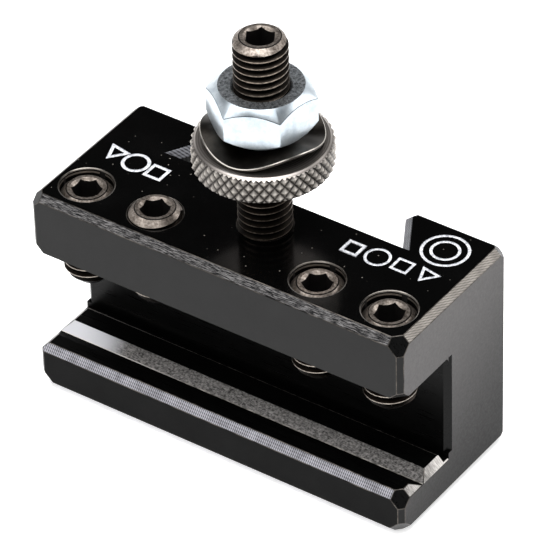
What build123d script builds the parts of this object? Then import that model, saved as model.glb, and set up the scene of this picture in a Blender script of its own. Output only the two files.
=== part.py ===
from build123d import *
import math
import os

# A steel tool holder that hangs on the dovetail of a quick change tool post.
# X runs along the tool slot, the slot opens towards -Y, the dovetail slot opens
# towards +Y, and Z is up. The origin is the middle of the block's underside.
# All sizes are in millimetres.

INCH = 25.4

# Block
LENGTH = 2 * INCH
WIDTH = 21.55
HEIGHT = 28.14
TOP_CHAMFER = 0.82
CORNER_CHAMFER = 0.61
BOTTOM_CHAMFER = 1.0
FRONT = -WIDTH / 2
BACK = WIDTH / 2

# Corner facets: distances from the three faces that add up to this are cut off
FACET_FRONT_RIGHT = 2.55
FACET_FRONT_LEFT = 2.15
FACET_BACK = 1.95
FACET_BOTTOM = 2.7
FACET_JAW = 1.55
FACET_LAND_RIGHT = 2.45

# Tool slot
LAND_Z = 6.09
JAW_Z = 20.03
SLOT_DEPTH = 9.54
SLOT_BACK = FRONT + SLOT_DEPTH
SLOT_FILLET = 0.6
RELIEF_WIDTH = 0.9
RELIEF_DEPTH = 0.75
LAND_CHAMFER = 0.875
WALL_CHAMFER = 0.7

# V-groove for round bars, along the land
VEE_CENTRE = FRONT + 4.235
VEE_HALF_WIDTH = 1.605
VEE_ANGLE = 120
VEE_DEPTH = VEE_HALF_WIDTH / math.tan(math.radians(VEE_ANGLE / 2))

# Dovetail slot
DOVETAIL_FLOOR = 3.974
DOVETAIL_HALF_WIDTH = 15.8
DOVETAIL_ANGLE = 60
DOVETAIL_LIP_Y = BACK - 1.45
DOVETAIL_LIP_RELIEF = 0.75
FLANK_CHAMFER = 0.8

# 1/4-28 threads, drawn as plain cylinders
THREAD_RADIUS = INCH / 8
THREAD_CLEARANCE = 0.05
SOCKET_ACROSS_FLATS = INCH / 8
SOCKET_DEPTH = 3.2
MOUTH_CHAMFER = 0.1

# Clamp screws, 1/2 inch long with a cup point; heads above (+) or below (-) the top face
SCREW_LENGTH = INCH / 2
SCREW_RADIUS = THREAD_RADIUS - 0.065
SCREW_Y = FRONT + 4.8
SCREW_TOP_CHAMFER = 0.5
CUP_RADIUS = 1.6
CUP_DEPTH = 0.8
SCREWS = {
    "clamp_screw_1": (-20.75, -0.3),
    "clamp_screw_2": (-11.1, 0.9),
    "clamp_screw_3": (11.1, -0.28),
    "clamp_screw_4": (20.75, -0.38),
}

# Height stud and what is on it
STUD_X = 0.45
STUD_Y = -0.75
STUD_LENGTH = 1.25 * INCH
STUD_TOP = HEIGHT + 26.0
STUD_BOTTOM = STUD_TOP - STUD_LENGTH
STUD_CHAMFER = 0.55
BORE_RADIUS = THREAD_RADIUS + THREAD_CLEARANCE

KNURL_RADIUS = 8.18
KNURL_BOTTOM = HEIGHT + 8.66
KNURL_TOP = HEIGHT + 12.12
KNURL_CHAMFER = 0.6

LOCK_NUT_ACROSS_FLATS = 7 / 16 * INCH
LOCK_NUT_BOTTOM = HEIGHT + 13.92
LOCK_NUT_HEIGHT = 5.56
LOCK_NUT_FACE_RADIUS = 4.9
LOCK_NUT_FACE_ANGLE = 40
LOCK_NUT_TURN = 23.5
LOCK_NUT_MOUTH = 0.35

WASHER_OUTER = 7.05
WASHER_INNER = 3.3
WASHER_THICKNESS = 0.4
WASHER_GAP = 0.03
WASHER_WAVES = 3
WASHER_VALLEY_ANGLE = 35.7
WASHER_POINTS = 36


def edge_cut(solid, point, direction, size=200):
    """Take away what lies beyond the plane through point, on the side of direction."""
    plane = Plane(origin=point, z_dir=direction)
    return solid - plane * Box(size, size, size, align=(Align.CENTER, Align.CENTER, Align.MIN))


def cut_block():
    """The outer block with its edges and corners broken."""
    block = Box(LENGTH, WIDTH, HEIGHT, align=(Align.CENTER, Align.CENTER, Align.MIN))
    end = LENGTH / 2
    for side in (-1, 1):
        block = edge_cut(block, (side * (end - CORNER_CHAMFER), FRONT, 0), (side, -1, 0))
        block = edge_cut(block, (side * (end - CORNER_CHAMFER), BACK, 0), (side, 1, 0))
        for level, up, chamfer in ((HEIGHT, 1, TOP_CHAMFER), (0, -1, BOTTOM_CHAMFER)):
            block = edge_cut(block, (side * (end - chamfer), 0, level), (side, 0, up))
            block = edge_cut(block, (0, side * (BACK - chamfer), level), (0, side, up))
    facets = {(-1, -1, 1): FACET_FRONT_LEFT, (1, -1, 1): FACET_FRONT_RIGHT}
    for side in (-1, 1):
        facets[(side, -1, -1)] = FACET_BOTTOM
        for up in (-1, 1):
            facets[(side, 1, up)] = FACET_BACK
    for (side, depth, up), cut in facets.items():
        level = HEIGHT if up > 0 else 0
        block = edge_cut(block, (side * (end - cut), depth * BACK, level), (side, depth, up))
    return block


def tool_slot():
    """The open slot, its back relief and the V-groove in its land, as one long cutter."""
    slot = Polyline(
        (FRONT - 5, JAW_Z),
        (SLOT_BACK, JAW_Z),
        (SLOT_BACK, LAND_Z - RELIEF_DEPTH),
        (SLOT_BACK - RELIEF_WIDTH, LAND_Z - RELIEF_DEPTH),
        (SLOT_BACK - RELIEF_WIDTH, LAND_Z),
        (VEE_CENTRE + VEE_HALF_WIDTH, LAND_Z),
        (VEE_CENTRE, LAND_Z - VEE_DEPTH),
        (VEE_CENTRE - VEE_HALF_WIDTH, LAND_Z),
        (FRONT + LAND_CHAMFER, LAND_Z),
        (FRONT - 5, LAND_Z - LAND_CHAMFER - 5),
        close=True,
    )
    face = make_face(slot)
    corner = face.vertices().sort_by_distance((SLOT_BACK, JAW_Z))[0]
    face = fillet(corner, SLOT_FILLET)
    across = Plane(origin=(-LENGTH, 0, 0), x_dir=(0, 1, 0), z_dir=(1, 0, 0))
    return extrude(across * face, amount=2 * LENGTH)


def slot_end_cuts(side):
    """Chamfers and corner facets where the slot meets one end of the block."""
    end = side * LENGTH / 2
    land = Polyline(
        (end - side * LAND_CHAMFER, LAND_Z),
        (end + side, LAND_Z - LAND_CHAMFER - 1),
        (end + side, LAND_Z),
        close=True,
    )
    front_view = Plane(origin=(0, FRONT - 1, 0), x_dir=(1, 0, 0), z_dir=(0, -1, 0))
    land_cut = extrude(front_view * make_face(land), amount=-(SLOT_DEPTH + 1))
    wall = Polyline(
        (end - side * WALL_CHAMFER, SLOT_BACK),
        (end + side, SLOT_BACK + WALL_CHAMFER + 1),
        (end + side, SLOT_BACK),
        close=True,
    )
    wall_cut = extrude(Plane.XY.offset(LAND_Z) * make_face(wall), amount=JAW_Z - LAND_Z)
    cuts = [land_cut, wall_cut]
    facets = [(JAW_Z, -1, FACET_JAW)]
    if side > 0:
        facets.append((LAND_Z, 1, FACET_LAND_RIGHT))
    for level, up, cut in facets:
        middle = (end - side * cut / 3, FRONT + cut / 3, level - up * cut / 3)
        facet = Plane(origin=middle, z_dir=(side, -1, up))
        cuts.append(facet * Box(6, 6, 6, align=(Align.CENTER, Align.CENTER, Align.MIN)))
    return cuts


def dovetail_outline(grow):
    """The dovetail slot seen from above, with its two flanks moved out by grow."""
    slope = math.tan(math.radians(DOVETAIL_ANGLE))
    half_floor = DOVETAIL_HALF_WIDTH + grow / math.sin(math.radians(DOVETAIL_ANGLE))
    half_lip = half_floor - (DOVETAIL_LIP_Y - DOVETAIL_FLOOR) / slope
    outside = BACK + 1
    half_mouth = half_lip + DOVETAIL_LIP_RELIEF * (outside - DOVETAIL_LIP_Y) / (BACK - DOVETAIL_LIP_Y)
    right = [(half_floor, DOVETAIL_FLOOR), (half_lip, DOVETAIL_LIP_Y), (half_mouth, outside)]
    left = [(-x, y) for x, y in reversed(right)]
    return make_face(Polyline(*right, *left, close=True))


def dovetail_slot():
    """The slot that slides over the post's dovetail, its flanks chamfered at both ends."""
    slot = extrude(dovetail_outline(0), amount=HEIGHT)
    for level, inwards in ((HEIGHT, -1), (0, 1)):
        wide = Plane.XY.offset(level) * dovetail_outline(FLANK_CHAMFER)
        narrow = Plane.XY.offset(level + inwards * FLANK_CHAMFER) * dovetail_outline(0)
        slot += loft([wide, narrow])
    return slot


def round_hole(x, y, top, bottom):
    """A tapped hole as a plain bore, with a small chamfer at its mouth."""
    bore = Pos(x, y, bottom) * Cylinder(
        THREAD_RADIUS, top - bottom, align=(Align.CENTER, Align.CENTER, Align.MIN)
    )
    mouth = Pos(x, y, top - MOUTH_CHAMFER) * Cone(
        THREAD_RADIUS, THREAD_RADIUS + MOUTH_CHAMFER, MOUTH_CHAMFER,
        align=(Align.CENTER, Align.CENTER, Align.MIN),
    )
    return bore + mouth


def make_holder_body():
    body = cut_block() - tool_slot() - dovetail_slot()
    for side in (-1, 1):
        for cutter in slot_end_cuts(side):
            body -= cutter
    for x, _ in SCREWS.values():
        body -= round_hole(x, SCREW_Y, HEIGHT, JAW_Z - 1)
    return body - round_hole(STUD_X, STUD_Y, HEIGHT, STUD_BOTTOM)


def hex_socket(top):
    """The key socket, with the drill point below it."""
    socket = Pos(0, 0, top - SOCKET_DEPTH) * extrude(
        RegularPolygon(SOCKET_ACROSS_FLATS / 2, 6, major_radius=False), amount=SOCKET_DEPTH
    )
    point_depth = SOCKET_ACROSS_FLATS / 4
    point = Pos(0, 0, top - SOCKET_DEPTH - point_depth) * Cone(
        0, SOCKET_ACROSS_FLATS / 2, point_depth, align=(Align.CENTER, Align.CENTER, Align.MIN)
    )
    return socket + point


def set_screw(radius, length, top_chamfer):
    """A socket set screw with a cup point, standing on z = 0."""
    profile = Polyline(
        (0, CUP_DEPTH),
        (CUP_RADIUS, 0),
        (radius, radius - CUP_RADIUS),
        (radius, length - top_chamfer),
        (radius - top_chamfer, length),
        (0, length),
        close=True,
    )
    body = revolve(Plane.XZ * make_face(profile), axis=Axis.Z)
    return body - hex_socket(length)


def make_clamp_screw(x, above):
    screw = set_screw(SCREW_RADIUS, SCREW_LENGTH, SCREW_TOP_CHAMFER)
    return Pos(x, SCREW_Y, HEIGHT + above - SCREW_LENGTH) * screw


def make_height_stud():
    stud = set_screw(THREAD_RADIUS, STUD_LENGTH, STUD_CHAMFER)
    return Pos(STUD_X, STUD_Y, STUD_BOTTOM) * stud


def stud_bore(bottom, top):
    return Pos(STUD_X, STUD_Y, bottom) * Cylinder(
        BORE_RADIUS, top - bottom, align=(Align.CENTER, Align.CENTER, Align.MIN)
    )


def make_knurled_nut():
    height = KNURL_TOP - KNURL_BOTTOM
    disc = Cylinder(KNURL_RADIUS, height, align=(Align.CENTER, Align.CENTER, Align.MIN))
    disc = chamfer(disc.edges().filter_by(GeomType.CIRCLE), KNURL_CHAMFER)
    return Pos(STUD_X, STUD_Y, KNURL_BOTTOM) * disc - stud_bore(KNURL_BOTTOM, KNURL_TOP)


def make_lock_nut():
    """A plain hexagon nut, with both faces turned down to a circle."""
    flats = extrude(RegularPolygon(LOCK_NUT_ACROSS_FLATS / 2, 6, major_radius=False), amount=LOCK_NUT_HEIGHT)
    corner = LOCK_NUT_ACROSS_FLATS / math.sqrt(3)
    turned_down = (corner - LOCK_NUT_FACE_RADIUS) * math.tan(math.radians(LOCK_NUT_FACE_ANGLE))
    outline = Polyline(
        (0, 0),
        (LOCK_NUT_FACE_RADIUS, 0),
        (corner, turned_down),
        (corner, LOCK_NUT_HEIGHT - turned_down),
        (LOCK_NUT_FACE_RADIUS, LOCK_NUT_HEIGHT),
        (0, LOCK_NUT_HEIGHT),
        close=True,
    )
    nut = flats & revolve(Plane.XZ * make_face(outline), axis=Axis.Z)
    for level, turn in ((0, 0), (LOCK_NUT_HEIGHT, 180)):
        mouth = Cone(
            BORE_RADIUS + LOCK_NUT_MOUTH, BORE_RADIUS, LOCK_NUT_MOUTH,
            align=(Align.CENTER, Align.CENTER, Align.MIN),
        )
        nut -= Pos(0, 0, level) * Rot(turn, 0, 0) * mouth
    nut = Pos(STUD_X, STUD_Y, LOCK_NUT_BOTTOM) * Rot(0, 0, LOCK_NUT_TURN - 30) * nut
    return nut - stud_bore(LOCK_NUT_BOTTOM, LOCK_NUT_BOTTOM + LOCK_NUT_HEIGHT)


def wave_edge(radius, lift):
    """One closed edge of the washer, rising and falling as it goes round."""
    low = KNURL_TOP + WASHER_GAP
    rise = LOCK_NUT_BOTTOM - WASHER_GAP - WASHER_THICKNESS - low
    points = []
    for step in range(WASHER_POINTS):
        angle = math.radians(WASHER_VALLEY_ANGLE + 360 * step / WASHER_POINTS)
        wave = (1 - math.cos(2 * math.pi * WASHER_WAVES * step / WASHER_POINTS)) / 2
        x = STUD_X + radius * math.cos(angle)
        y = STUD_Y + radius * math.sin(angle)
        points.append((x, y, low + rise * wave + lift))
    return Edge.make_spline(points, periodic=True)


def make_wave_washer():
    """A thin ring pressed into three waves, closed from four ruled faces."""
    corners = [
        wave_edge(WASHER_INNER, 0),
        wave_edge(WASHER_OUTER, 0),
        wave_edge(WASHER_OUTER, WASHER_THICKNESS),
        wave_edge(WASHER_INNER, WASHER_THICKNESS),
    ]
    faces = [
        Face.make_surface_from_curves(corners[place - 1], corners[place]) for place in range(4)
    ]
    return Solid(Shell(faces))


def main():
    parts = {
        "holder_body": make_holder_body(),
        "height_stud": make_height_stud(),
        "knurled_height_nut": make_knurled_nut(),
        "wave_washer": make_wave_washer(),
        "lock_nut": make_lock_nut(),
    }
    for name, (x, above) in SCREWS.items():
        parts[name] = make_clamp_screw(x, above)
    os.makedirs("parts", exist_ok=True)
    for name, shape in parts.items():
        export_step(shape, f"parts/{name}.step")


main()
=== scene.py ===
import bmesh
import bpy
import math
from mathutils import Matrix, Vector


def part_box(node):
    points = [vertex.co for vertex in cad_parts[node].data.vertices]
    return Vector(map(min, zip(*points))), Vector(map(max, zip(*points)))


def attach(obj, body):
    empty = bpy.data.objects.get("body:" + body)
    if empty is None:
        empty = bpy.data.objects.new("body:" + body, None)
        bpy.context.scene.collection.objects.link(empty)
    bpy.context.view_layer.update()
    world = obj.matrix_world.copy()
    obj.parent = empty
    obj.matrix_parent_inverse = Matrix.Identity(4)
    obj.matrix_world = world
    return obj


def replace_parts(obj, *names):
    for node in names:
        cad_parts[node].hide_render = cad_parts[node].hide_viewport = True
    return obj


# A dovetail tool holder for a small lathe's quick change tool post: a black oxide
# block, four clamp screws, and a height stud with its knurled nut, wave washer and
# lock nut. Lengths are in metres, worked out from millimetres with MM.

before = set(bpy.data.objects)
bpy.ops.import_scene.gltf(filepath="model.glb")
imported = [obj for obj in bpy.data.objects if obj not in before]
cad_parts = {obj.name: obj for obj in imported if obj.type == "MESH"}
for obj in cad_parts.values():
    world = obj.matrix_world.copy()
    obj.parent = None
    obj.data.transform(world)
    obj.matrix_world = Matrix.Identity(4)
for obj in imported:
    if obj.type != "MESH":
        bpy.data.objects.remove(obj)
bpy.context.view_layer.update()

MM = 0.001

# Where the pieces are, read from the frame
BODY_LOW, BODY_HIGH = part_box("holder_body")
STUD_LOW, STUD_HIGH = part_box("height_stud")
KNURL_LOW, KNURL_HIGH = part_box("knurled_height_nut")
WASHER_LOW, WASHER_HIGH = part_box("wave_washer")
NUT_LOW, NUT_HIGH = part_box("lock_nut")
STUD_X = (STUD_LOW.x + STUD_HIGH.x) / 2
STUD_Y = (STUD_LOW.y + STUD_HIGH.y) / 2
TOP = BODY_HIGH.z
FRONT = BODY_LOW.y
LAND = 6.09 * MM
JAW = 20.03 * MM
SLOT_BACK = FRONT + 9.54 * MM
RELIEF_WIDTH = 0.9 * MM
DOVETAIL_FLOOR = 3.974 * MM
VEE_CENTRE = FRONT + 4.235 * MM
LAND_BACK = SLOT_BACK - RELIEF_WIDTH
# How wide the thin lines at the foot of the vee and the back of the land are, which carry a painted edge
# highlight
HIGHLIGHT_LINE_WIDTH = 0.14 * MM

# The four clamp screw holes and the stud's hole, by their middles
HOLES = [(STUD_X, STUD_Y)]
for hole_number in range(1, 5):
    screw_low, screw_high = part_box(f"clamp_screw_{hole_number}")
    HOLES.append(((screw_low.x + screw_high.x) / 2, (screw_low.y + screw_high.y) / 2))

# The knurl is a grid of diamonds: this many round the nut, in rows this far apart
KNURL_RADIUS = (KNURL_HIGH.x - KNURL_LOW.x) / 2
KNURL_COUNT = 43
KNURL_DEPTH = 0.36 * MM
KNURL_ROW = 0.75 * MM
KNURL_FACE_RADIUS = KNURL_RADIUS - 0.65 * MM
KNURL_CHAMFER = 0.42 * MM
KNURL_CROWN = 0.16 * MM
NUT_WELD = 0.01 * MM

# The wave washer, the lock nut, and the bore of both nuts
WASHER_INNER = 3.3 * MM
WASHER_THICKNESS = 0.4 * MM
WASHER_WAVES = 3
WASHER_VALLEY = math.radians(35.7)
WASHER_ROUND = 0.09 * MM
LOCK_NUT_FLATS = 7 / 16 * 25.4 * MM
LOCK_NUT_FACE_RADIUS = 4.9 * MM
LOCK_NUT_FACE_SLOPE = math.tan(math.radians(40))
LOCK_NUT_TURN = math.radians(23.5)
LOCK_NUT_CORNER = 0.12 * MM
LOCK_NUT_SEAM = 0.05 * MM
BORE_RADIUS = 3.24 * MM
BORE_MOUTH = 0.3 * MM

# 1/4-28 thread
PITCH = 25.4 / 28 * MM
THREAD_DEPTH = 0.56 * MM
THREAD_STEPS = 72
# Its outline over one pitch: the share of the pitch, and whether it is at the crest there
THREAD_OUTLINE = ((0, False), (0.12, False), (0.44, True), (0.56, True), (0.88, False))
THREAD_WELD = 0.004 * MM

# The socket, the cup point, and the lead at the socket's end of the screws and the stud
SOCKET_FLATS = 3.175 * MM
SOCKET_DEPTH = 3.2 * MM
CUP_RADIUS = 1.6 * MM
LIP_RADIUS = 2.35 * MM
COUNTERSINK_DEPTH = 0.35 * MM
COUNTERSINK_RISE = 0.9 * MM
CUP_DEPTH = 0.8 * MM
SCREW_LEAD = 0.8 * MM
SCREW_INSET = 0.01 * MM
STUD_LEAD = 0.6 * MM
STUD_INSET = 0.03 * MM

EDGE_BREAK = 0.06 * MM
WELD = 0.002 * MM    # corners closer than this are made one
ENGRAVING_DEPTH = 0.1 * MM
CLEAVE = 0.001 * MM    # how near a plane a corner counts as on it when a mesh is cut by the plane
SHARP_ANGLE = math.radians(32)
BLOCK_SHARP_ANGLE = math.radians(14)
WAVE_PERIOD = math.pi / 10    # the distance between two bands of a Wave texture whose scale is 1


# ---------------------------------------------------------------- small helpers

def colour(code):
    """An sRGB hex colour as the linear colour that a shader takes."""
    shares = [int(code[place:place + 2], 16) / 255 for place in (1, 3, 5)]
    linear = [s / 12.92 if s <= 0.04045 else ((s + 0.055) / 1.055) ** 2.4 for s in shares]
    return (*linear, 1.0)


def set_inputs(tree, node, inputs):
    """Gives a node's inputs their numbers, or links them to other nodes' sockets."""
    for name, value in inputs.items():
        if isinstance(value, bpy.types.NodeSocket):
            tree.links.new(value, node.inputs[name])
        else:
            node.inputs[name].default_value = value


def add(tree, kind, settings=None, inputs=None):
    """Adds a node, with its own settings, and with numbers or other nodes' sockets as inputs."""
    node = tree.nodes.new(kind)
    for name, value in (settings or {}).items():
        setattr(node, name, value)
    set_inputs(tree, node, inputs or {})
    return node


def new_material(name):
    """An empty material with its Principled shader and Object coordinates."""
    material = bpy.data.materials.new(name)
    material.use_nodes = True
    tree = material.node_tree
    shader = tree.nodes["Principled BSDF"]
    place = add(tree, "ShaderNodeTexCoord").outputs["Object"]
    return material, tree, shader, place


def noise(tree, place, size, detail, roughness=0.5):
    """A socket with the value of a noise texture whose blotches are about as wide as size in mm."""
    return add(tree, "ShaderNodeTexNoise", None, {
        "Vector": place, "Scale": 1 / (size * MM), "Detail": detail, "Roughness": roughness,
    }).outputs["Fac"]


def spread(tree, value, low, high, first=0.0, last=1.0):
    """A socket that goes from first to last as a value goes from low to high."""
    return add(tree, "ShaderNodeMapRange", None, {
        "Value": value, "From Min": low, "From Max": high, "To Min": first, "To Max": last,
    }).outputs["Result"]


def math_node(tree, operation, *values, clamp=False):
    """A socket with the result of a Math node."""
    return add(
        tree, "ShaderNodeMath", {"operation": operation, "use_clamp": clamp}, dict(enumerate(values))
    ).outputs["Value"]


def relief_of(tree, height, strength, depth):
    """A socket with the normals of a bumpy surface, its full depth given in mm."""
    return add(tree, "ShaderNodeBump", None, {
        "Height": height, "Strength": strength, "Distance": depth * MM,
    }).outputs["Normal"]


def two_tone(tree, share, first, second):
    """A socket that goes from one colour to another. The first is a hex code or another socket."""
    mixed = add(tree, "ShaderNodeMix", {"data_type": "RGBA"}, {
        0: share, 6: colour(first) if isinstance(first, str) else first, 7: colour(second),
    })
    return mixed.outputs[2]


def from_axis(tree, place, x, y):
    """A socket with the distance from an upright axis."""
    centred = add(tree, "ShaderNodeMapping", None, {
        "Vector": place, "Location": (-x, -y, 0), "Scale": (1, 1, 0),
    })
    return add(tree, "ShaderNodeVectorMath", {"operation": "LENGTH"}, {
        0: centred.outputs["Vector"],
    }).outputs["Value"]


def fade_along(tree, place, direction, start, end):
    """A socket that goes from 0 to 1 along a direction, between two distances given in mm."""
    along = add(tree, "ShaderNodeVectorMath", {"operation": "DOT_PRODUCT"}, {
        0: place, 1: Vector(direction).normalized(),
    })
    return add(tree, "ShaderNodeMapRange", {"interpolation_type": "SMOOTHSTEP"}, {
        "Value": along.outputs["Value"], "From Min": start * MM, "From Max": end * MM,
    }).outputs["Result"]


def mark_sharp(bm, sharp_angle):
    """Makes every face smooth, except across the edges that turn by more than an angle."""
    for face in bm.faces:
        face.smooth = True
    for edge in bm.edges:
        if len(edge.link_faces) == 2:
            edge.smooth = edge.calc_face_angle(0) < sharp_angle


def piece_from(bm, name, materials):
    """Makes a scene object from a bmesh, smooth except across its sharp edges."""
    bmesh.ops.recalc_face_normals(bm, faces=bm.faces[:])
    mark_sharp(bm, SHARP_ANGLE)
    mesh = bpy.data.meshes.new(name)
    bm.to_mesh(mesh)
    bm.free()
    piece = bpy.data.objects.new(name, mesh)
    bpy.context.scene.collection.objects.link(piece)
    for material in materials:
        mesh.materials.append(material)
    return piece


def cut(piece, tool, operation="DIFFERENCE"):
    """Cuts a piece with a tool, once and for all, and throws the tool away."""
    modifier = piece.modifiers.new("cut", "BOOLEAN")
    modifier.object = tool
    modifier.operation = operation
    modifier.solver = "EXACT"
    modifier.material_mode = "TRANSFER"
    bpy.context.view_layer.update()
    depsgraph = bpy.context.evaluated_depsgraph_get()
    settled = bpy.data.meshes.new_from_object(piece.evaluated_get(depsgraph))
    piece.modifiers.clear()
    piece.data = settled
    bpy.data.objects.remove(tool)


def sharpen(piece, sharp_angle=SHARP_ANGLE):
    """Marks the sharp edges of a piece again after it has been cut."""
    bm = bmesh.new()
    bm.from_mesh(piece.data)
    mark_sharp(bm, sharp_angle)
    bm.to_mesh(piece.data)
    bm.free()


def turned(outline, steps=96, closed=False):
    """A bmesh turned about Z from (radius, height) points.

    They start and end on the axis, or go right round the section of a ring.
    """
    bm = bmesh.new()
    verts = [bm.verts.new((radius, 0, height)) for radius, height in outline]
    pairs = zip(verts[-1:] + verts, verts) if closed else zip(verts, verts[1:])
    edges = [bm.edges.new(pair) for pair in pairs]
    bmesh.ops.spin(
        bm, geom=verts + edges, cent=(0, 0, 0), axis=(0, 0, 1), angle=2 * math.pi,
        steps=steps, use_merge=True,
    )
    bmesh.ops.remove_doubles(bm, verts=bm.verts[:], dist=WELD)
    return bm


def hexagon(across_flats, bottom, top, turn=0.0):
    """A six-sided prism with two of its flats square to Y before it is turned."""
    bm = bmesh.new()
    radius = across_flats / math.sqrt(3)
    bmesh.ops.create_cone(
        bm, cap_ends=True, segments=6, radius1=radius, radius2=radius, depth=top - bottom
    )
    bmesh.ops.rotate(bm, verts=bm.verts[:], matrix=Matrix.Rotation(math.radians(30) + turn, 3, "Z"))
    bmesh.ops.translate(bm, verts=bm.verts[:], vec=(0, 0, (bottom + top) / 2))
    return bm


def threaded_rod(major, bottom, top, point_chamfer, lip_radius, lead):
    """A bmesh of a rod on the Z axis with a real 60 degree helical thread.

    Its lower end has a 45 degree chamfer, and its upper end tapers to a lip over the lead.
    """
    bm = bmesh.new()
    minor = major - THREAD_DEPTH
    start = bottom - 2 * PITCH
    outline = []
    for turn_number in range(math.ceil((top - bottom) / PITCH) + 4):
        for share, crest in THREAD_OUTLINE:
            outline.append((major if crest else minor, 0, start + (turn_number + share) * PITCH))
    verts = [bm.verts.new(point) for point in outline]
    edges = [bm.edges.new(pair) for pair in zip(verts, verts[1:])]
    bmesh.ops.spin(
        bm, geom=verts + edges, cent=(0, 0, 0), axis=(0, 0, 1), dvec=(0, 0, PITCH / THREAD_STEPS),
        angle=2 * math.pi, steps=THREAD_STEPS, use_merge=False,
    )
    bmesh.ops.remove_doubles(bm, verts=bm.verts[:], dist=THREAD_WELD)
    for height, up in ((bottom, -1), (top, 1)):
        bmesh.ops.bisect_plane(
            bm, geom=bm.verts[:] + bm.edges[:] + bm.faces[:], dist=CLEAVE,
            plane_co=(0, 0, height), plane_no=(0, 0, up), clear_outer=True,
        )
    bmesh.ops.remove_doubles(bm, verts=bm.verts[:], dist=THREAD_WELD)
    rim = [edge for edge in bm.edges if len(edge.link_faces) == 1]
    bmesh.ops.holes_fill(bm, edges=rim, sides=0)
    for vert in bm.verts:
        radius = math.hypot(vert.co.x, vert.co.y)
        limit = major - point_chamfer + (vert.co.z - bottom)
        taper = lip_radius + (major - lip_radius) * (top - vert.co.z) / lead
        reach = taper if vert.co.z > top - lead and radius > 0.1 * MM else min(radius, limit)
        if radius > 0.1 * MM:
            vert.co.x *= reach / radius
            vert.co.y *= reach / radius
    return bm


# ---------------------------------------------------------------- materials

def ground_oxide():
    """Black oxide over a ground face: nearly a black mirror, with specks of dust and a faint haze."""
    material, tree, shader, place = new_material("black_oxide_ground")
    dust = add(tree, "ShaderNodeTexVoronoi", {"feature": "F1"}, {
        "Vector": place, "Scale": 1 / (1.1 * MM), "Randomness": 1.0,
    })
    speck = spread(tree, dust.outputs["Distance"], 0.085, 0.045)
    rare = noise(tree, place, 2.0, 2.0)
    often = spread(tree, rare, 0.48, 0.60)
    dusty = math_node(tree, "MULTIPLY", speck, often)
    mixed = two_tone(tree, dusty, "#030303", "#8d8880")
    haze = noise(tree, place, 6, 6.0)
    rough = spread(tree, haze, 0.35, 0.7, 0.12, 0.2)
    set_inputs(tree, shader, {"Base Color": mixed, "Roughness": rough, "Specular IOR Level": 0.3})
    return material


def milled_oxide(
    name, dark, light, roughness, mark_size, bump=0.15, metallic=0.6, gloss=0.5, fade=None, cloud=3.0
):
    """Black oxide over milled steel: satin, with cutter marks whose size along X, Y and Z is in mm.

    The bump is the strength of the marks' relief, and the gloss how strongly the oxide reflects.
    A fade is a direction, its two distances in mm, and the colour that the oxide turns to there.
    On the ends it is painted reflection and shade, on the thin lines a painted highlight, and on the vee a
    lighter left end.
    The cloud is the size in mm of its blotches.
    """
    material, tree, shader, place = new_material(name)
    marks_place = add(tree, "ShaderNodeMapping", None, {
        "Vector": place, "Scale": tuple(1 / (size * MM) for size in mark_size),
    })
    marks = add(tree, "ShaderNodeTexNoise", None, {
        "Vector": marks_place.outputs["Vector"], "Scale": 1.0, "Detail": 3.0, "Roughness": 0.6,
    })
    mottle = noise(tree, place, cloud, 5.0)
    blend = math_node(tree, "MULTIPLY", marks.outputs["Fac"], mottle)
    shade = spread(tree, blend, 0.12, 0.40)
    mixed = two_tone(tree, shade, dark, light)
    if fade:
        # worn is the colour the fade turns to: painted reflection and shade on the ends, a painted
        # highlight on the thin lines, a lighter left end on the vee
        direction, start, end, worn = fade
        mixed = two_tone(tree, fade_along(tree, place, direction, start, end), mixed, worn)
    rough = spread(tree, marks.outputs["Fac"], 0.3, 0.7, roughness - 0.05, roughness + 0.07)
    relief = relief_of(tree, marks.outputs["Fac"], bump, 0.02)
    set_inputs(tree, shader, {
        "Base Color": mixed, "Roughness": rough, "Normal": relief, "Metallic": metallic,
        "Specular IOR Level": gloss,
    })
    return material


def streaked_chamfer():
    """A chamfer cut with a chattering cutter: crinkled streaks of bright steel through black oxide."""
    material, tree, shader, place = new_material("chamfer_streaked")
    # Each streak is about 1 mm long and 0.1 mm wide, and wavers as it goes
    waver = add(tree, "ShaderNodeTexNoise", None, {
        "Vector": place, "Scale": 1 / (0.9 * MM), "Detail": 3.0,
    })
    shift = add(tree, "ShaderNodeVectorMath", {"operation": "SCALE"}, {
        0: waver.outputs["Color"], "Scale": 0.1 * MM,
    })
    bent = add(tree, "ShaderNodeVectorMath", {"operation": "ADD"}, {
        0: place, 1: shift.outputs["Vector"],
    })
    stretched = add(tree, "ShaderNodeMapping", None, {
        "Vector": bent.outputs["Vector"], "Scale": (1 / (1.0 * MM), 1 / (0.1 * MM), 1 / (0.1 * MM)),
    })
    streaks = add(tree, "ShaderNodeTexNoise", None, {
        "Vector": stretched.outputs["Vector"], "Scale": 1.0, "Detail": 3.0, "Roughness": 0.65,
    })
    bright = spread(tree, streaks.outputs["Fac"], 0.44, 0.68)
    mixed = two_tone(tree, bright, "#161617", "#848282")
    relief = relief_of(tree, streaks.outputs["Fac"], 0.6, 0.05)
    set_inputs(tree, shader, {
        "Base Color": mixed, "Normal": relief, "Metallic": 0.9, "Roughness": 0.42,
    })
    return material


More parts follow.
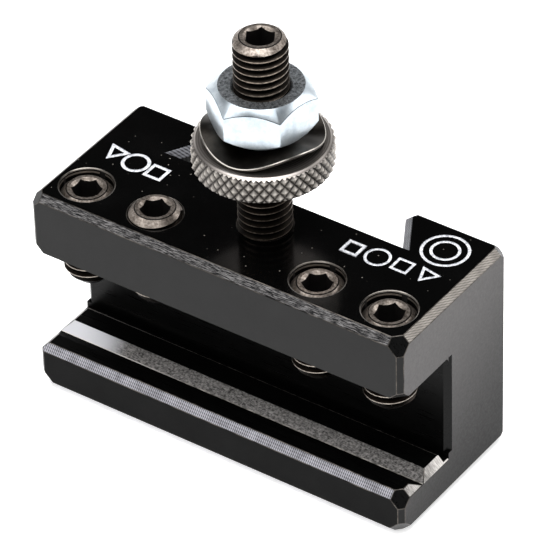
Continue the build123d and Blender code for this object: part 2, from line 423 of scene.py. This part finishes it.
def lined_chamfer(name, dark, light, pitch, slant):
    """A chamfer with even cutter lines across it, pitch mm apart, the oxide worn off their crests."""
    material, tree, shader, place = new_material(name)
    turned_place = add(tree, "ShaderNodeMapping", None, {
        "Vector": place, "Rotation": (0, 0, slant), "Scale": (1 / (pitch * MM),) * 3,
    })
    lines = add(tree, "ShaderNodeTexWave", {"wave_type": "BANDS", "bands_direction": "X"}, {
        "Vector": turned_place.outputs["Vector"], "Scale": WAVE_PERIOD, "Distortion": 0.8,
        "Detail": 2.0, "Detail Scale": 1.5,
    })
    patch = noise(tree, place, 1.5, 4.0)
    rows = add(tree, "ShaderNodeTexWave", {"wave_type": "BANDS", "bands_direction": "Z"}, {
        "Vector": turned_place.outputs["Vector"], "Scale": WAVE_PERIOD, "Distortion": 0.5,
    })
    grid = math_node(tree, "MULTIPLY_ADD", rows.outputs["Fac"], 0.35, lines.outputs["Fac"])
    worn = math_node(tree, "MULTIPLY", grid, patch)
    shade = spread(tree, worn, 0.0, 0.65)
    mixed = two_tone(tree, shade, dark, light)
    relief = relief_of(tree, lines.outputs["Fac"], 0.25, 0.02)
    set_inputs(tree, shader, {
        "Base Color": mixed, "Normal": relief, "Metallic": 0.8, "Roughness": 0.38,
    })
    return material


def worn_edge():
    """Steel where the oxide has rubbed off an edge: a thin warm grey line."""
    material, tree, shader, place = new_material("oxide_rubbed_edge")
    patch = noise(tree, place, 2.5, 6.0, 0.7)
    shade = spread(tree, patch, 0.38, 0.62)
    mixed = two_tone(tree, shade, "#141312", "#5e5954")
    set_inputs(tree, shader, {"Base Color": mixed, "Metallic": 0.9, "Roughness": 0.35})
    return material


def threaded_steel(name, groove, flank, crest, axis_x, axis_y, major, roughness):
    """Oxidised thread: black in the grooves and worn to bare steel at the crests, told by the radius."""
    material, tree, shader, place = new_material(name)
    lift = spread(tree, from_axis(tree, place, axis_x, axis_y), major - THREAD_DEPTH, major)
    grime = noise(tree, place, 0.5, 5.0, 0.65)
    patchy = math_node(tree, "MULTIPLY_ADD", grime, 0.28, -0.14)
    wear = math_node(tree, "ADD", lift, patchy)
    low = spread(tree, wear, 0.1, 0.75)
    high = spread(tree, wear, 0.92, 1.02)
    lower = two_tone(tree, low, groove, flank)
    whole = two_tone(tree, high, lower, crest)
    set_inputs(tree, shader, {"Base Color": whole, "Metallic": 0.85, "Roughness": roughness})
    return material


def worn_screw_face():
    """The socket end of a screw: brown-black oxide rubbed to grey steel by the key."""
    material, tree, shader, place = new_material("screw_head_worn")
    rub = noise(tree, place, 0.3, 4.0, 0.6)
    shade = spread(tree, rub, 0.3, 0.72)
    mixed = two_tone(tree, shade, "#5a5048", "#b5aba2")
    relief = relief_of(tree, rub, 0.15, 0.02)
    set_inputs(tree, shader, {
        "Base Color": mixed, "Normal": relief, "Metallic": 0.9, "Roughness": 0.36,
    })
    return material


def socket_dark():
    """Deep inside a key socket: unpolished oxide that light hardly reaches."""
    material, tree, shader, place = new_material("socket_oxide")
    grain = noise(tree, place, 0.4, 3.0)
    mixed = two_tone(tree, grain, "#060505", "#15110f")
    set_inputs(tree, shader, {"Base Color": mixed, "Metallic": 0.3, "Roughness": 0.5})
    return material


def knurled_steel():
    """Bare turned steel under a light oil: warm grey, with grime in the knurl's grooves."""
    material, tree, shader, place = new_material("turned_steel_knurled")
    height = spread(
        tree, from_axis(tree, place, STUD_X, STUD_Y), KNURL_RADIUS - KNURL_DEPTH, KNURL_RADIUS - 0.05 * MM
    )
    grain = noise(tree, place, 0.35, 5.0, 0.7)
    dirty = math_node(tree, "MULTIPLY_ADD", grain, 0.5, -0.25)
    level = math_node(tree, "ADD", height, dirty, clamp=True)
    mixed = two_tone(tree, level, "#1f1c1a", "#c3bdb6")
    set_inputs(tree, shader, {"Base Color": mixed, "Metallic": 0.9, "Roughness": 0.38})
    return material


def turned_steel():
    """Bare steel faced in a lathe: bright, with faint rings about the stud."""
    material, tree, shader, place = new_material("turned_steel_bright")
    centred = add(tree, "ShaderNodeMapping", None, {
        "Vector": place, "Location": (-STUD_X, -STUD_Y, 0), "Scale": (1, 1, 0),
    })
    rings = add(tree, "ShaderNodeTexWave", {"wave_type": "RINGS", "rings_direction": "SPHERICAL"}, {
        "Vector": centred.outputs["Vector"], "Scale": WAVE_PERIOD / (0.3 * MM), "Distortion": 0.4,
    })
    mixed = two_tone(tree, rings.outputs["Fac"], "#8f8984", "#b7b0ab")
    set_inputs(tree, shader, {"Base Color": mixed, "Metallic": 0.95, "Roughness": 0.32})
    return material


def spring_steel():
    """Oil-tempered spring steel: dark brown-grey satin with a few pale specks."""
    material, tree, shader, place = new_material("spring_steel_tempered")
    cloud = noise(tree, place, 2.2, 7.0, 0.6)
    shade = spread(tree, cloud, 0.3, 0.75)
    mixed = two_tone(tree, shade, "#1d1a18", "#3d3934")
    set_inputs(tree, shader, {"Base Color": mixed, "Metallic": 0.9, "Roughness": 0.3})
    return material


def sheared_edge():
    """The rim of the washer, where the blanking die left bright steel."""
    material, tree, shader, place = new_material("sheared_steel")
    patch = noise(tree, place, 0.7, 4.0)
    mixed = two_tone(tree, patch, "#8a857e", "#d8d3cb")
    set_inputs(tree, shader, {"Base Color": mixed, "Metallic": 0.95, "Roughness": 0.28})
    return material


def zinc_plate(name, dark, light, roughness, pit, bump):
    """Bright zinc plate over a rolled nut: bluish white, with pits about as wide as pit in mm.

    The bump is the strength of the pits' relief.
    """
    material, tree, shader, place = new_material(name)
    pits = noise(tree, place, pit, 6.0, 0.75)
    shade = spread(tree, pits, 0.36, 0.6)
    mixed = two_tone(tree, shade, dark, light)
    relief = relief_of(tree, pits, bump, 0.04)
    set_inputs(tree, shader, {
        "Base Color": mixed, "Normal": relief, "Metallic": 0.95, "Roughness": roughness,
    })
    return material


def engraved_white():
    """Engraving cut through the oxide: scraped steel, almost white."""
    material, tree, shader, place = new_material("engraving_bare")
    scrape = noise(tree, place, 0.4, 4.0, 0.7)
    shade = spread(tree, scrape, 0.35, 0.6)
    mixed = two_tone(tree, shade, "#a9abb2", "#f4f5f8")
    set_inputs(tree, shader, {"Base Color": mixed, "Metallic": 0.1, "Roughness": 0.55})
    return material


def bore_thread():
    """A tapped hole's wall: oily black, with a painted highlight line at each crest of its thread."""
    material, tree, shader, place = new_material("bore_thread_oxide_painted_highlights")
    # Painted highlight: a bright band a pitch apart, where each crest of the thread catches the light
    crests = add(tree, "ShaderNodeTexWave", {"wave_type": "BANDS", "bands_direction": "Z"}, {
        "Vector": place, "Scale": WAVE_PERIOD / PITCH, "Distortion": 0.3,
    })
    shade = spread(tree, crests.outputs["Fac"], 0.7, 1.0)
    mixed = two_tone(tree, shade, "#0a0908", "#a8a29b")
    set_inputs(tree, shader, {"Base Color": mixed, "Metallic": 0.9, "Roughness": 0.34})
    return material


# ---------------------------------------------------------------- holder body

# The finish of each kind of face. Some colours change along a direction: on the ends a painted
# reflection and shade, lighter towards the top front; on the thin lines a painted highlight; on the vee a
# lighter left end.
BODY_FINISHES = {
    "top": ground_oxide(),
    "front": milled_oxide(
        "black_oxide_milled", "#080808", "#101010", 0.45, (0.5, 0.3, 0.3), 0.15, 0.0, 0.2
    ),
    # The ends: lighter towards the top front as a painted reflection of the floor, darker towards the
    # bottom back as painted shade
    "end": milled_oxide(
        "black_oxide_satin_painted_reflection", "#0f0f0f", "#161515", 0.45, (0.3, 0.3, 0.3), 0.1, 0.9, 0.4,
        ((0, -0.55, 1), -3, 26, "#504e4e"),
    ),
    # The lower jaw's front: the same milled oxide with less gloss, so that it renders darker as painted
    # shade near the floor
    "lower_front_painted_shade": milled_oxide(
        "black_oxide_low_painted_shade", "#141414", "#1a1a1a", 0.5, (0.5, 0.3, 0.3), 0.15, 0.0, 0.03
    ),
    "slot": milled_oxide("black_oxide_slot", "#020202", "#050505", 0.3, (5, 0.25, 0.25), 0.3, 0.0, 0.12),
    "groove": milled_oxide(
        "black_oxide_groove", "#020202", "#030303", 0.6, (0.5, 0.3, 0.3), 0.15, 0.0, 0.02
    ),
    # The vee: lighter towards its left end
    "vee": milled_oxide(
        "black_oxide_vee", "#161515", "#8f8c8a", 0.4, (0.45, 0.1, 0.1), 0.9, 0.9, 0.5,
        ((-1, 0, 0), 16, 19.5, "#c4c4c8"), 0.3,
    ),
    # rubbed: the thin lines at the foot of the vee and the back of the land, a painted edge highlight that
    # grows lighter towards the left
    "rubbed": milled_oxide(
        "oxide_line_painted_highlight", "#070707", "#a5a099", 0.35, (0.5, 0.2, 0.2), 0.3, 0.9, 0.5,
        ((-1, 0, 0), 4, 22, "#cfcbc6"), 0.7,
    ),
    "dovetail": milled_oxide("black_oxide_dovetail", "#0c0c0c", "#3a3a3a", 0.36, (0.2, 0.2, 2.0), 0.6),
    "flank_chamfer": lined_chamfer("chamfer_flank", "#232325", "#8b8c92", 0.30, 1.2),
    "streaks": streaked_chamfer(),
    "lines": lined_chamfer("chamfer_lined", "#1c1c1f", "#a3a2a9", 0.26, 0.0),
    "end_chamfer": lined_chamfer("chamfer_end", "#55514d", "#88837d", 0.2, 0.3),
    "land_end": milled_oxide("chamfer_land", "#504e4c", "#c6c2be", 0.4, (0.9, 0.14, 0.9), 0.6, 0.9),
    "facet": milled_oxide("black_oxide_facet", "#020202", "#060606", 0.3, (0.2, 0.2, 0.9), 0.3, 0.0, 0.2),
    "corner": milled_oxide("black_oxide_corner", "#050505", "#0c0c0c", 0.4, (0.3, 0.3, 3), 0.15, 0.0, 0.2),
    "edge": worn_edge(),
    "bore": bore_thread(),
    "mouth": milled_oxide("bore_mouth_worn", "#3a3632", "#a19b94", 0.3, (1.5, 1.5, 0.1), 0.4, 0.95),
    "engraving": engraved_white(),
}


NEAR = 0.1 * MM          # how near its own height or depth a face still counts as there
TILT = 0.02              # how far a share of a normal may be from the one looked for
HOLE_REACH = 3.6 * MM    # a hole's wall and mouth are within this of its middle


def body_finish(face):
    """Which finish a face of the block has, from where it is and which way it looks."""
    normal, middle = face.normal, face.calc_center_median()
    sideways, out, up = abs(normal.x), abs(normal.y), abs(normal.z)
    diagonal = [share for share in (sideways, out, up) if abs(share - math.sqrt(0.5)) < TILT]
    nearest_hole = min(math.hypot(middle.x - x, middle.y - y) for x, y in HOLES)
    if up > 0.995:
        if middle.z > TOP - NEAR:
            return "top"
        if middle.z < 1 * MM:
            return "front"
        # The thin line at the back of the land takes the painted edge highlight
        return "rubbed" if LAND_BACK - HIGHLIGHT_LINE_WIDTH < middle.y < LAND_BACK else "slot"
    if sideways > 0.995:
        return "end"
    if out > 0.995:
        if middle.y < FRONT + NEAR:
            return "front" if middle.z > JAW else "lower_front_painted_shade"
        if abs(middle.y - SLOT_BACK) < NEAR:
            return "slot"
        return "dovetail" if middle.y < DOVETAIL_FLOOR + NEAR else "front"
    if nearest_hole < HOLE_REACH and middle.z > JAW - NEAR:
        return "mouth" if up > 0.3 else "bore"
    if all(abs(share - math.sqrt(1 / 3)) < TILT for share in (sideways, out, up)):
        return "facet"
    if len(diagonal) == 2:
        if sideways < TILT and middle.y < FRONT + 1 * MM:
            return "streaks" if middle.z > JAW else "lines"
        if up < TILT:
            return "slot" if abs(middle.y - SLOT_BACK) < 1 * MM else "corner"
        if out < TILT and abs(middle.z - LAND) < 1 * MM:
            return "land_end"
        return "end_chamfer" if middle.z > JAW else "corner"
    if sideways < TILT and abs(up - math.cos(math.radians(30))) < TILT:
        if middle.y < VEE_CENTRE:
            return "groove"
        # The thin line at the foot of the vee takes the painted edge highlight
        return "rubbed" if middle.y < VEE_CENTRE + HIGHLIGHT_LINE_WIDTH else "vee"
    if middle.y > DOVETAIL_FLOOR - NEAR:
        return "dovetail" if up < TILT else "flank_chamfer"
    return "edge"


def mark_ring(x, y, radius, stroke, sides, turn=0.0):
    """The cutter for an engraved outline: a ring, or a plain regular figure with few sides."""
    low, high = TOP - ENGRAVING_DEPTH, TOP + ENGRAVING_DEPTH
    inner = radius - stroke / math.cos(math.pi / sides)
    bm = turned([(inner, low), (radius, low), (radius, high), (inner, high)], sides, closed=True)
    bmesh.ops.rotate(bm, verts=bm.verts[:], matrix=Matrix.Rotation(turn, 3, "Z"))
    bmesh.ops.translate(bm, verts=bm.verts[:], vec=(x, y, 0))
    return bm


def engrave(block):
    """Plain figures in the top face: three at the left, four at the right, and a double ring behind."""
    triangle, square, ring = (3, math.radians(20)), (4, math.radians(45)), (40, 0)
    left = [(-21.6, 1.0, triangle), (-18.5, 0.5, ring), (-15.4, 0.3, square)]
    right = [(11.3, 0.8, square), (14.5, 1.0, ring), (17.7, 1.2, square), (20.9, 1.4, triangle)]
    figures = [(x, y, 1.75, 0.42, figure) for x, y, figure in left]
    figures += [(x, y, 1.6, 0.34, figure) for x, y, figure in right]
    figures += [(20.2, 6.1, radius, 0.36, ring) for radius in (2.9, 1.8)]
    for place, (x, y, radius, stroke, (sides, turn)) in enumerate(figures):
        bm = mark_ring(x * MM, y * MM, radius * MM, stroke * MM, sides, turn)
        cut(block, piece_from(bm, f"mark_{place}", [BODY_FINISHES["engraving"]]))


def make_body():
    """The block: the CAD solid with its edges broken, its marks, and a finish for each face."""
    bm = bmesh.new()
    bm.from_mesh(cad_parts["holder_body"].data)
    bmesh.ops.remove_doubles(bm, verts=bm.verts[:], dist=WELD)
    bmesh.ops.dissolve_limit(
        bm, angle_limit=math.radians(1), verts=bm.verts[:], edges=bm.edges[:]
    )

    def plain_corner(vert):
        """Whether a corner is clear of the slot's fillet and relief, where edges are too short to break."""
        in_slot = abs(vert.co.y - SLOT_BACK) < 1.3 * MM and vert.co.z < JAW + NEAR
        return not (in_slot and vert.co.z > LAND - 1 * MM)

    def is_relief_edge(edge):
        """Whether an edge is the long one between the land and the relief behind it."""
        near = all(
            abs(vert.co.y - LAND_BACK) < 0.05 * MM and abs(vert.co.z - LAND) < 0.05 * MM
            for vert in edge.verts
        )
        return near and edge.calc_length() > 10 * MM

    sharp = [
        edge for edge in bm.edges
        if len(edge.link_faces) == 2 and edge.calc_face_angle(0) > SHARP_ANGLE
        and edge.calc_length() > 0.25 * MM
        and (all(plain_corner(vert) for vert in edge.verts) or is_relief_edge(edge))
    ]
    bmesh.ops.bevel(
        bm, geom=sharp, offset=EDGE_BREAK, offset_type="OFFSET", affect="EDGES",
        segments=1, profile=0.5, material=-1, clamp_overlap=False,
    )
    bm.normal_update()
    # Split off the thin lines that carry the painted edge highlight
    for kind, line in (("vee", VEE_CENTRE + HIGHLIGHT_LINE_WIDTH), ("slot", LAND_BACK - HIGHLIGHT_LINE_WIDTH)):
        strip = [
            face for face in bm.faces
            if face.normal.z > 0.8 and face.calc_area() > 50 * MM ** 2 and body_finish(face) == kind
        ]
        around = {part for face in strip for part in (*face.verts, *face.edges)}
        bmesh.ops.bisect_plane(
            bm, geom=[*strip, *around], dist=CLEAVE, plane_co=(0, line, 0), plane_no=(0, 1, 0)
        )
    names = list(BODY_FINISHES)
    bm.normal_update()
    for face in bm.faces:
        face.material_index = names.index(body_finish(face))
    block = piece_from(bm, "block", list(BODY_FINISHES.values()))
    engrave(block)
    sharpen(block, BLOCK_SHARP_ANGLE)
    return block


# ---------------------------------------------------------------- screws and stud

SCREW_FACE = worn_screw_face()
SOCKET = socket_dark()


def set_screw(node, name, thread, major_inset, lead, spin):
    """A socket set screw in the place of a CAD node, with a real thread, socket and cup point."""
    low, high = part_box(node)
    middle = (low + high) / 2
    major = (high.x - low.x) / 2 - major_inset
    length = high.z - low.z
    bm = threaded_rod(major, 0, length, major - CUP_RADIUS, LIP_RADIUS, lead)
    for face in bm.faces:
        face.material_index = 1 if face.calc_center_median().z > length - lead else 0
    screw = piece_from(bm, name, [thread, SCREW_FACE, SOCKET])
    tools = [
        piece_from(hexagon(SOCKET_FLATS, length - SOCKET_DEPTH, length + 1 * MM), "key", [SOCKET]),
        piece_from(turned([
            (0, length - COUNTERSINK_DEPTH), (SOCKET_FLATS / 2, length - COUNTERSINK_DEPTH),
            (SOCKET_FLATS / 2 + COUNTERSINK_RISE, length - COUNTERSINK_DEPTH + COUNTERSINK_RISE),
            (0, length - COUNTERSINK_DEPTH + COUNTERSINK_RISE),
        ]), "countersink", [SCREW_FACE]),
        piece_from(turned([(0, CUP_DEPTH), (CUP_RADIUS, -0.1 * MM), (0, -0.1 * MM)]), "cup", [SOCKET]),
        piece_from(turned([
            (LIP_RADIUS + 0.03 * MM, length - 0.2 * MM), (LIP_RADIUS + 0.15 * MM, length + 0.1 * MM),
            (LIP_RADIUS - 0.09 * MM, length + 0.1 * MM),
        ], closed=True), "groove", [SOCKET]),
    ]
    for tool in tools:
        cut(screw, tool)
    sharpen(screw)
    screw.data.transform(Matrix.Rotation(spin, 4, "Z"))
    screw.data.transform(Matrix.Translation((middle.x, middle.y, low.z)))
    return screw


# ---------------------------------------------------------------- nuts and washer

def make_knurled_nut():
    """A disc with a rolled diamond knurl and plain chamfers, bored for the stud."""
    outer, face_radius, chamfer = KNURL_RADIUS, KNURL_FACE_RADIUS, KNURL_CHAMFER
    bottom, top = KNURL_LOW.z, KNURL_HIGH.z
    half_rows = math.ceil((top - bottom) / KNURL_ROW)
    spare = (half_rows * KNURL_ROW - (top - bottom)) / 2
    columns = 2 * KNURL_COUNT
    bm = bmesh.new()
    bmesh.ops.create_grid(bm, x_segments=columns, y_segments=half_rows, size=0.5)
    for vert in bm.verts:
        column = round((vert.co.x + 0.5) * columns)
        row = round((vert.co.y + 0.5) * half_rows)
        vert.co = (column, row, (column + row) % 2)
    grooves = [[vert for vert in face.verts if vert.co.z < 0.5] for face in bm.faces]
    for pair in grooves:
        bmesh.ops.connect_verts(bm, verts=pair)
    for vert in bm.verts:
        column, row, raised = vert.co
        height = bottom - spare + row * KNURL_ROW
        radius = outer - (1 - raised) * KNURL_DEPTH
        angle = 2 * math.pi * column / columns
        vert.co = (radius * math.cos(angle), radius * math.sin(angle), height)
    bmesh.ops.remove_doubles(bm, verts=bm.verts[:], dist=NUT_WELD)
    crowns = [
        vert for vert in bm.verts
        if math.hypot(vert.co.x, vert.co.y) > outer - NUT_WELD and len(vert.link_edges) > 5
    ]
    bmesh.ops.bevel(
        bm, geom=crowns, offset=KNURL_CROWN, offset_type="OFFSET", affect="VERTICES",
        segments=1, profile=0.5, material=-1,
    )
    rim = [edge for edge in bm.edges if len(edge.link_faces) == 1]
    bmesh.ops.holes_fill(bm, edges=rim, sides=0)
    bmesh.ops.translate(bm, verts=bm.verts[:], vec=(STUD_X, STUD_Y, 0))
    nut = piece_from(bm, "height_nut", [KNURL, TURNED])
    envelope = turned([
        (0, bottom), (face_radius, bottom), (outer + 0.1 * MM, bottom + chamfer + 0.06 * MM),
        (outer + 0.1 * MM, top - chamfer - 0.06 * MM), (face_radius, top), (0, top),
    ], 144)
    bmesh.ops.translate(envelope, verts=envelope.verts[:], vec=(STUD_X, STUD_Y, 0))
    cut(nut, piece_from(envelope, "envelope", [TURNED]), "INTERSECT")
    cut(nut, stud_bore(bottom, top, TURNED))
    sharpen(nut)
    return nut


def stud_bore(bottom, top, material):
    """The cutter for a nut's bore, wider at both mouths."""
    radius, mouth = BORE_RADIUS, BORE_MOUTH
    bm = turned([
        (0, bottom - mouth), (radius + 2 * mouth, bottom - mouth), (radius, bottom + mouth),
        (radius, top - mouth), (radius + 2 * mouth, top + mouth), (0, top + mouth),
    ])
    bmesh.ops.translate(bm, verts=bm.verts[:], vec=(STUD_X, STUD_Y, 0))
    return piece_from(bm, "bore", [material])


def make_wave_washer():
    """A rolled strip of spring steel bent into three waves between the nuts."""
    bottom, top = WASHER_LOW.z, WASHER_HIGH.z
    inner, outer, thickness = WASHER_INNER, (WASHER_HIGH.x - WASHER_LOW.x) / 2, WASHER_THICKNESS
    rise = top - bottom - thickness
    trim = WASHER_ROUND
    bm = turned([
        (inner, trim), (inner + trim, 0), (outer - trim, 0), (outer, trim),
        (outer, thickness - trim), (outer - trim, thickness),
        (inner + trim, thickness), (inner, thickness - trim),
    ], 180, closed=True)
    bm.normal_update()
    for face in bm.faces:
        middle = face.calc_center_median()
        rim = math.hypot(middle.x, middle.y) > outer - 0.08 * MM
        face.material_index = 1 if rim and middle.z > thickness / 2 + 0.1 * MM else 0
    for vert in bm.verts:
        angle = math.atan2(vert.co.y, vert.co.x) - WASHER_VALLEY
        vert.co.z += bottom + rise * (1 - math.cos(WASHER_WAVES * angle)) / 2
        vert.co.x += STUD_X
        vert.co.y += STUD_Y
    return piece_from(bm, "waved_ring", [SPRING, RIM])


def make_lock_nut():
    """A hexagon nut turned down to a circle on both faces, bored and countersunk."""
    bottom, top = NUT_LOW.z, NUT_HIGH.z
    height = top - bottom
    corner = LOCK_NUT_FLATS / math.sqrt(3)
    face_radius = LOCK_NUT_FACE_RADIUS
    drop = (corner - face_radius) * LOCK_NUT_FACE_SLOPE
    bm = hexagon(LOCK_NUT_FLATS, 0, height, LOCK_NUT_TURN)
    upright = [edge for edge in bm.edges if abs(edge.verts[0].co.z - edge.verts[1].co.z) > height / 2]
    bmesh.ops.bevel(
        bm, geom=upright, offset=LOCK_NUT_CORNER, offset_type="OFFSET", affect="EDGES",
        segments=2, profile=0.5, material=-1,
    )
    nut = piece_from(bm, "hex_nut", [ZINC, ZINC_FACE])
    cut(nut, piece_from(turned([
        (0, 0), (face_radius, 0), (corner, drop), (corner + 0.3 * MM, drop + 0.25 * MM),
        (corner + 0.3 * MM, height - drop - 0.25 * MM), (corner, height - drop),
        (face_radius, height), (0, height),
    ], 144), "turning", [ZINC]), "INTERSECT")
    nut.data.transform(Matrix.Translation((STUD_X, STUD_Y, bottom)))
    cut(nut, stud_bore(bottom, top, ZINC_FACE))
    for face in nut.data.polygons:
        if abs(face.normal.z) > 0.99:
            face.material_index = list(nut.data.materials).index(ZINC_FACE)
    nut.data.materials.append(ZINC_SEAM)
    bm = bmesh.new()
    bm.from_mesh(nut.data)
    bmesh.ops.remove_doubles(bm, verts=bm.verts[:], dist=NUT_WELD)
    bmesh.ops.dissolve_limit(bm, angle_limit=math.radians(0.5), verts=bm.verts[:], edges=bm.edges[:])
    bm.normal_update()
    seams = []
    for edge in bm.edges:
        slopes = sorted(abs(face.normal.z) for face in edge.link_faces)
        if len(slopes) == 2 and slopes[0] < 0.05 and 0.6 < slopes[1] < 0.95:
            seams.append(edge)
    seam_faces = bmesh.ops.bevel(
        bm, geom=seams, offset=LOCK_NUT_SEAM, offset_type="OFFSET", affect="EDGES",
        segments=1, profile=0.5, material=-1, clamp_overlap=False,
    )["faces"]
    for face in seam_faces:
        face.material_index = len(nut.data.materials) - 1
    bm.to_mesh(nut.data)
    bm.free()
    sharpen(nut)
    return nut


KNURL = knurled_steel()
TURNED = turned_steel()
SPRING = spring_steel()
RIM = sheared_edge()
ZINC = zinc_plate("zinc_plate_bright", "#b6c1ca", "#d0d9df", 0.30, 1.3, 0.03)
ZINC_FACE = zinc_plate("zinc_plate_face", "#33383d", "#d5dadf", 0.34, 0.25, 0.12)
ZINC_SEAM = zinc_plate("zinc_plate_seam", "#2a2f34", "#6d757c", 0.4, 0.3, 0.1)

block = make_body()
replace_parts(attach(block, "holder"), "holder_body")

for number, turn in ((1, 30), (2, 40), (3, 33), (4, 44)):
    node = f"clamp_screw_{number}"
    low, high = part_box(node)
    thread = threaded_steel(
        f"oxide_thread_{number}", "#080706", "#352e29", "#a39a90",
        (low.x + high.x) / 2, (low.y + high.y) / 2, (high.x - low.x) / 2 - SCREW_INSET, 0.34,
    )
    screw = set_screw(node, f"set_screw_{number}", thread, SCREW_INSET, SCREW_LEAD, math.radians(turn))
    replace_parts(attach(screw, f"{node}_body"), node)

stud_thread = threaded_steel(
    "oxide_thread_stud", "#050404", "#29241f", "#83786d", STUD_X, STUD_Y,
    (STUD_HIGH.x - STUD_LOW.x) / 2 - STUD_INSET, 0.32,
)
stud = set_screw("height_stud", "threaded_stud", stud_thread, STUD_INSET, STUD_LEAD, 0.0)
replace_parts(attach(stud, "holder"), "height_stud")

height_nut = make_knurled_nut()
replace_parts(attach(height_nut, "height_nut_body"), "knurled_height_nut")

ring = make_wave_washer()
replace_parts(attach(ring, "height_carrier"), "wave_washer")

lock_nut = make_lock_nut()
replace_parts(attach(lock_nut, "lock_nut_body"), "lock_nut")


# ---------------------------------------------------------------- floor, light and camera

def make_floor():
    """A plain pale floor under the object: a softly lit light table."""
    material, tree, shader, place = new_material("pale_floor")
    paper = add(tree, "ShaderNodeTexNoise", None, {
        "Vector": place, "Scale": 40.0, "Detail": 2.0,
    })
    mixed = two_tone(tree, paper.outputs["Fac"], "#f4f4f4", "#f8f8f8")
    set_inputs(tree, shader, {
        "Base Color": mixed, "Roughness": 0.9, "Emission Color": colour("#ffffff"),
        "Emission Strength": 0.55,
    })
    bm = bmesh.new()
    bmesh.ops.create_grid(bm, x_segments=2, y_segments=2, size=1.5)
    floor = piece_from(bm, "floor", [material])


def softbox(name, azimuth, elevation, distance, size, watts):
    """A square soft light that looks at the holder. Azimuth 0 is in front of it, turning to the right."""
    turn, rise = math.radians(azimuth), math.radians(elevation)
    aim = Vector((0, 0, TOP / 2))
    away = Vector((math.sin(turn) * math.cos(rise), -math.cos(turn) * math.cos(rise), math.sin(rise)))
    lamp = bpy.data.lights.new(name, "AREA")
    lamp.shape = "SQUARE"
    lamp.size = size
    lamp.energy = watts
    holder = bpy.data.objects.new(name, lamp)
    bpy.context.scene.collection.objects.link(holder)
    holder.location = aim + away * distance
    holder.rotation_euler = away.to_track_quat("Z", "Y").to_euler()


def make_light():
    """Soft lights, and a dim room whose walls are pale up to about 20 degrees above the floor."""
    world = bpy.data.worlds.new("studio")
    world.use_nodes = True
    tree = world.node_tree
    height = add(tree, "ShaderNodeSeparateXYZ", None, {
        "Vector": add(tree, "ShaderNodeTexCoord").outputs["Generated"],
    })
    wall = spread(
        tree, height.outputs["Z"], math.sin(math.radians(27)), math.sin(math.radians(16)), 0.03, 0.9
    )
    background = tree.nodes["Background"]
    background.inputs["Color"].default_value = colour("#ffffff")
    tree.links.new(wall, background.inputs["Strength"])
    bpy.context.scene.world = world
    bpy.context.scene.view_settings.view_transform = "Standard"
    softbox("overhead", 0, 88, 0.9, 0.8, 9)
    softbox("front_left", -36, 42, 0.8, 0.5, 1.8)
    softbox("back_right", 134, 27, 0.8, 0.5, 2.0)
    softbox("high_right", 36, 64, 0.8, 0.45, 1.3)


def make_camera():
    """A long lens from the front right, looking down."""
    aim = Vector((-0.80, 2.54, 18.03)) * MM
    turn, rise, roll = math.radians(35.70), math.radians(38.12), math.radians(-1.63)
    distance = 595.16
    away = Vector((math.sin(turn) * math.cos(rise), -math.cos(turn) * math.cos(rise), math.sin(rise)))
    lens = bpy.data.cameras.new("camera")
    lens.sensor_width = 36
    lens.lens = 340.2
    lens.clip_start = 0.05
    camera = bpy.data.objects.new("camera", lens)
    bpy.context.scene.collection.objects.link(camera)
    level = away.to_track_quat("Z", "Y").to_matrix()
    camera.matrix_world = Matrix.Translation(aim + away * distance * MM) @ (
        level @ Matrix.Rotation(roll, 3, "Z")
    ).to_4x4()
    bpy.context.scene.camera = camera


make_floor()
make_light()
make_camera()

bpy.context.view_layer.update()
